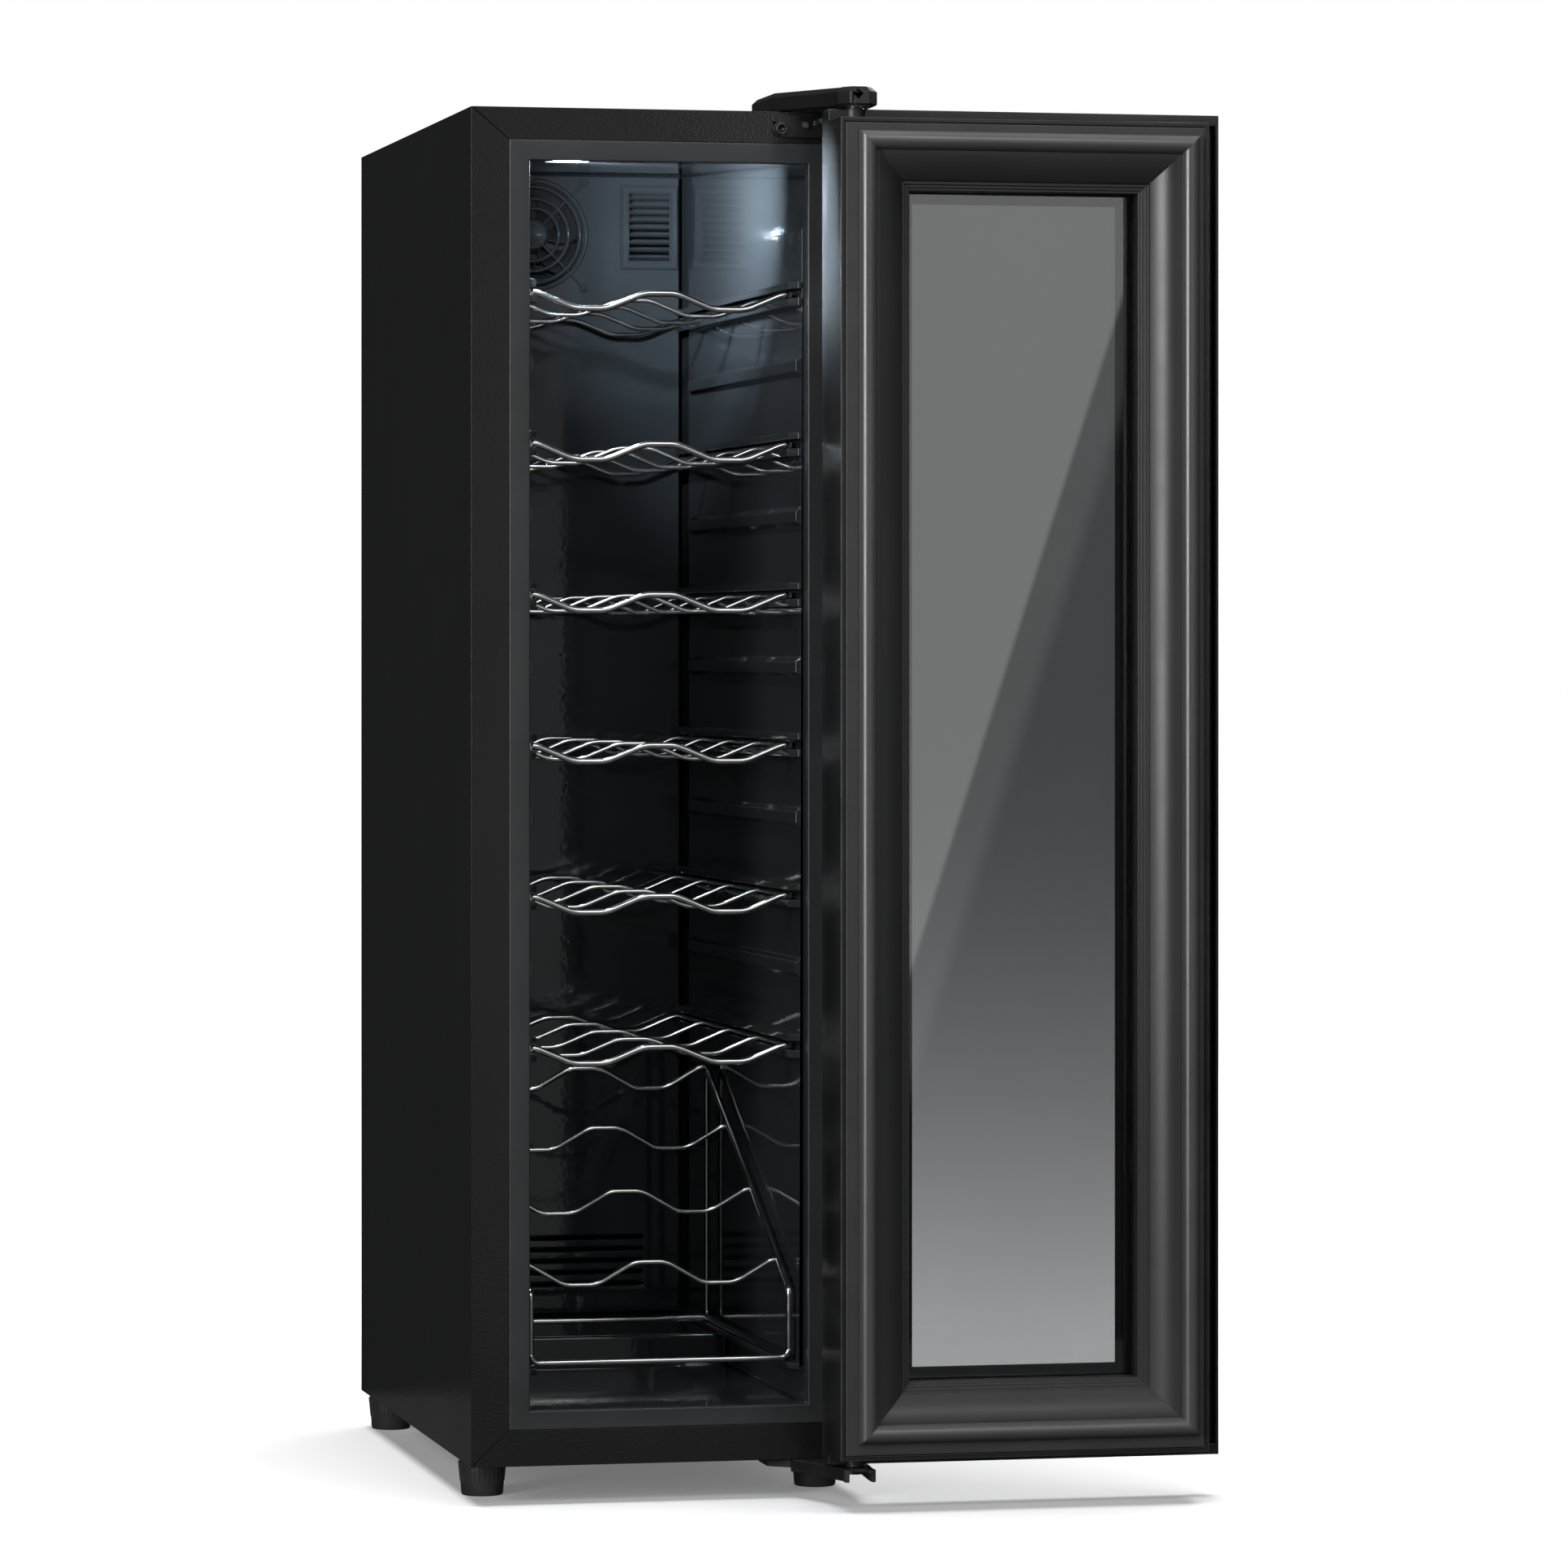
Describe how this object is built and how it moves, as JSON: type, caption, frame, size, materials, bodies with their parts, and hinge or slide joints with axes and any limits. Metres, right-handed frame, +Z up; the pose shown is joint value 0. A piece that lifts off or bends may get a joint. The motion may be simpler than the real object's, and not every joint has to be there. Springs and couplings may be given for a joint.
{
  "type": "wine cooler",
  "caption": "Slim free-standing wine cooler with a glazed pin-hinged door folded right back, wavy chrome wire bottle shelves and a slanted display rack.",
  "frame": {"origin": "floor level under the centre of the cabinet's front face", "axes": "+X to the hinge side, +Y from the door to the back, +Z up"},
  "size_m": [0.4745, 0.5419, 0.894],
  "materials": {
    "side_sheet": "satin, fine orange-peel grain",
    "front_band": "satin",
    "back_sheet": "satin",
    "foam": "cut foam",
    "front_trim": "satin",
    "liner_gloss": "gloss",
    "lamp_white": "diffusing",
    "black_plastic": "satin",
    "chrome_wire": "polished",
    "bare_aluminium": "milled",
    "ceramic_white": "matte",
    "board_green": "satin",
    "contact_brass": "satin",
    "hinge_steel": "satin",
    "plated_steel": "satin",
    "door_plastic": "satin",
    "gasket_grey": "satin",
    "smoked_glass": "polished",
    "nylon_black": "satin",
    "foot_rubber": "matte"
  },
  "bodies": {
    "cabinet": {"side_panel_left": "side_sheet", "side_panel_right": "side_sheet", "top_panel": "side_sheet", "base_pan": "front_band", "back_panel": "back_sheet", "foam_core": "foam", "breaker_frame": "front_trim", "liner": "liner_gloss", "runner_left": "liner_gloss", "runner_right": "liner_gloss", "duct_panel": "liner_gloss", "fan_guard": "liner_gloss", "louvre": "liner_gloss", "lamp_housing": "black_plastic", "lamp_diffuser": "lamp_white", "duct_fan_frame": "black_plastic", "cold_sink": "bare_aluminium", "peltier_module": "ceramic_white", "hot_sink": "bare_aluminium", "rear_fan_frame": "black_plastic", "rear_fan_guard": "chrome_wire", "power_board": "board_green", "inlet_socket": "black_plastic", "inlet_pins": "contact_brass", "top_hinge_plate": "plated_steel", "hinge_cover": "black_plastic", "front_hinge_bracket": "hinge_steel", "bottom_hinge_bracket": "hinge_steel", "hinge_screws": "plated_steel"},
    "door": {"door_frame": "door_plastic", "door_liner": "door_plastic", "door_gasket": "gasket_grey", "outer_glass": "smoked_glass", "inner_glass": "smoked_glass", "glass_spacer": "black_plastic", "grip_strip": "black_plastic", "top_bush": "nylon_black", "bottom_bush": "nylon_black"},
    "duct_fan": {"duct_fan_rotor": "black_plastic"},
    "rear_fan": {"rear_fan_rotor": "black_plastic"},
    "foot_fl": {"foot_front_left": "foot_rubber"},
    "foot_fr": {"foot_front_right": "foot_rubber"},
    "foot_rl": {"foot_rear_left": "foot_rubber"},
    "foot_rr": {"foot_rear_right": "foot_rubber"},
    "shelf_body_1": {"shelf_1": "chrome_wire"},
    "shelf_body_2": {"shelf_2": "chrome_wire"},
    "shelf_body_3": {"shelf_3": "chrome_wire"},
    "shelf_body_4": {"shelf_4": "chrome_wire"},
    "shelf_body_5": {"shelf_5": "chrome_wire"},
    "shelf_body_6": {"shelf_6": "chrome_wire"},
    "rack": {"display_rack": "chrome_wire"}
  },
  "joints": [
    {"name": "door_hinge", "type": "hinge", "parent": "cabinet", "child": "door", "pos_m": [0.10975, -0.045, 0.453], "axis": [0, 0, 1], "range_deg": [-180, 0]},
    {"name": "shelf_1_slide", "type": "slide", "parent": "cabinet", "child": "shelf_body_1", "axis": [0, -1, 0], "range_m": [0, 0.24]},
    {"name": "shelf_2_slide", "type": "slide", "parent": "cabinet", "child": "shelf_body_2", "axis": [0, -1, 0], "range_m": [0, 0.24]},
    {"name": "shelf_3_slide", "type": "slide", "parent": "cabinet", "child": "shelf_body_3", "axis": [0, -1, 0], "range_m": [0, 0.24]},
    {"name": "shelf_4_slide", "type": "slide", "parent": "cabinet", "child": "shelf_body_4", "axis": [0, -1, 0], "range_m": [0, 0.24]},
    {"name": "shelf_5_slide", "type": "slide", "parent": "cabinet", "child": "shelf_body_5", "axis": [0, -1, 0], "range_m": [0, 0.24]},
    {"name": "shelf_6_slide", "type": "slide", "parent": "cabinet", "child": "shelf_body_6", "axis": [0, -1, 0], "range_m": [0, 0.24]},
    {"name": "rack_slide", "type": "slide", "parent": "cabinet", "child": "rack", "axis": [0, -1, 0], "range_m": [0, 0.2]},
    {"name": "duct_fan_spin", "type": "hinge", "parent": "cabinet", "child": "duct_fan", "pos_m": [-0.018, 0.3963, 0.826], "axis": [0, 1, 0], "continuous": true},
    {"name": "rear_fan_spin", "type": "hinge", "parent": "cabinet", "child": "rear_fan", "pos_m": [0, 0.4422, 0.62], "axis": [0, 1, 0], "continuous": true},
    {"name": "foot_fl_spin", "type": "hinge", "parent": "cabinet", "child": "foot_fl", "pos_m": [-0.109, 0.066, 0], "axis": [0, 0, 1], "continuous": true},
    {"name": "foot_fr_spin", "type": "hinge", "parent": "cabinet", "child": "foot_fr", "pos_m": [0.109, 0.066, 0], "axis": [0, 0, 1], "continuous": true},
    {"name": "foot_rl_spin", "type": "hinge", "parent": "cabinet", "child": "foot_rl", "pos_m": [-0.109, 0.434, 0], "axis": [0, 0, 1], "continuous": true},
    {"name": "foot_rr_spin", "type": "hinge", "parent": "cabinet", "child": "foot_rr", "pos_m": [0.109, 0.434, 0], "axis": [0, 0, 1], "continuous": true}
  ]
}
